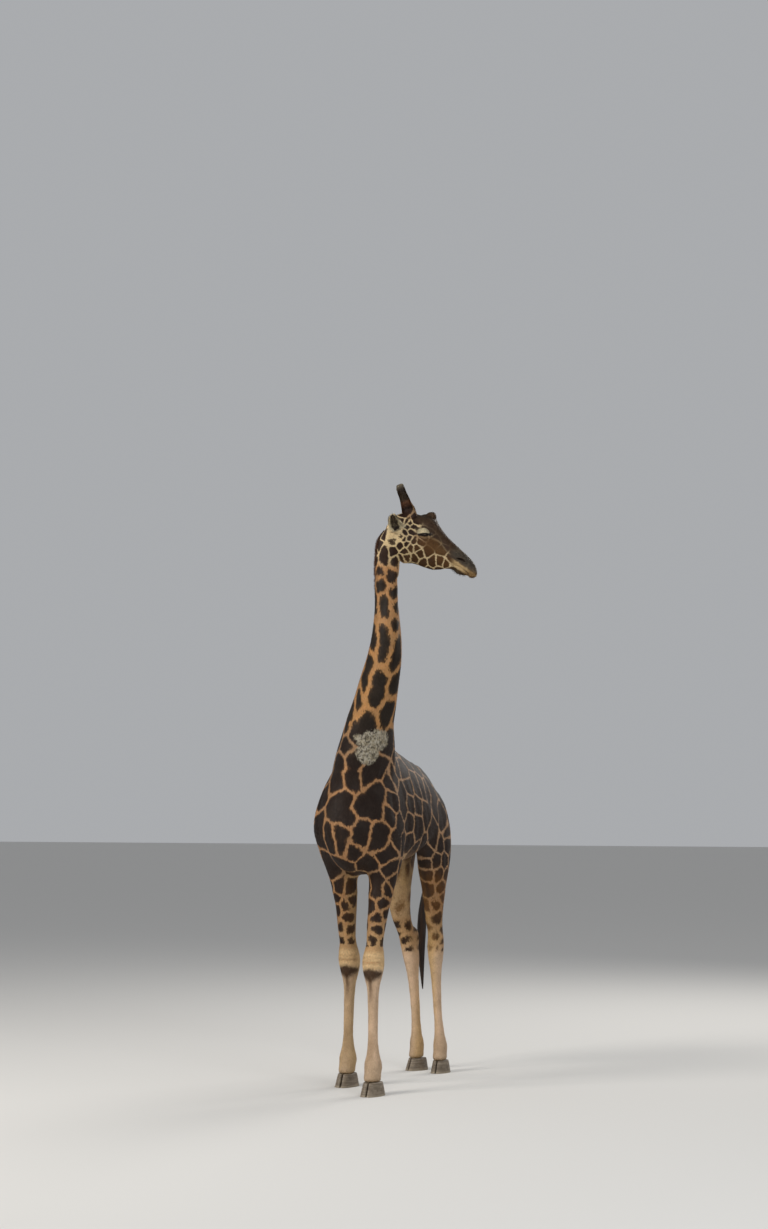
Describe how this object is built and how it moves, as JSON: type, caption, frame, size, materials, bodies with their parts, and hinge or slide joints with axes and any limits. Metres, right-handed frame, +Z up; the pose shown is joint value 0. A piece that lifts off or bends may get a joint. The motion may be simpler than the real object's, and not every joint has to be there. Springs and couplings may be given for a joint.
{
  "type": "giraffe",
  "caption": "Life-size still model of an adult giraffe bull standing on four hooves with a tall, slightly curved neck and the head turned to its left.",
  "frame": {"origin": "on the ground, in the middle of the whole model's box seen from above", "axes": "+Z up; the giraffe's body faces -Y and its left side is +X"},
  "size_m": [1.5906, 2.647, 5.0818],
  "materials": {
    "coat": "short dark brown hair in patches, parted by pale lines",
    "neck_coat": "dark brown patches on an orange-tan ground",
    "leg_coat": "tan hair with shrinking brown patches",
    "shank_coat": "plain short cream-tan hair",
    "face_coat": "short cream hair with small brown patches, dark forehead",
    "horn": "hair-covered bone, worn grey at the knob",
    "eye": "wet and near black",
    "hoof": "dull brown-grey hoof horn",
    "hair": "coarse near-black hair"
  },
  "bodies": {
    "root": {"ear_left": "face_coat", "ear_right": "face_coat", "eye_left": "eye", "eye_right": "eye", "fore_claw_inner_left": "hoof", "fore_claw_inner_right": "hoof", "fore_claw_outer_left": "hoof", "fore_claw_outer_right": "hoof", "fore_leg_lower_left": "shank_coat", "fore_leg_lower_right": "shank_coat", "fore_leg_upper_left": "leg_coat", "fore_leg_upper_right": "leg_coat", "head": "face_coat", "hind_claw_inner_left": "hoof", "hind_claw_inner_right": "hoof", "hind_claw_outer_left": "hoof", "hind_claw_outer_right": "hoof", "hind_leg_lower_left": "shank_coat", "hind_leg_lower_right": "shank_coat", "hind_leg_upper_left": "leg_coat", "hind_leg_upper_right": "leg_coat", "horn_left": "horn", "horn_right": "horn", "mane": "hair", "neck_lower": "neck_coat", "neck_middle": "neck_coat", "neck_upper": "neck_coat", "tail": "coat", "tail_tuft": "hair", "trunk": "coat"}
  },
  "joints": []
}
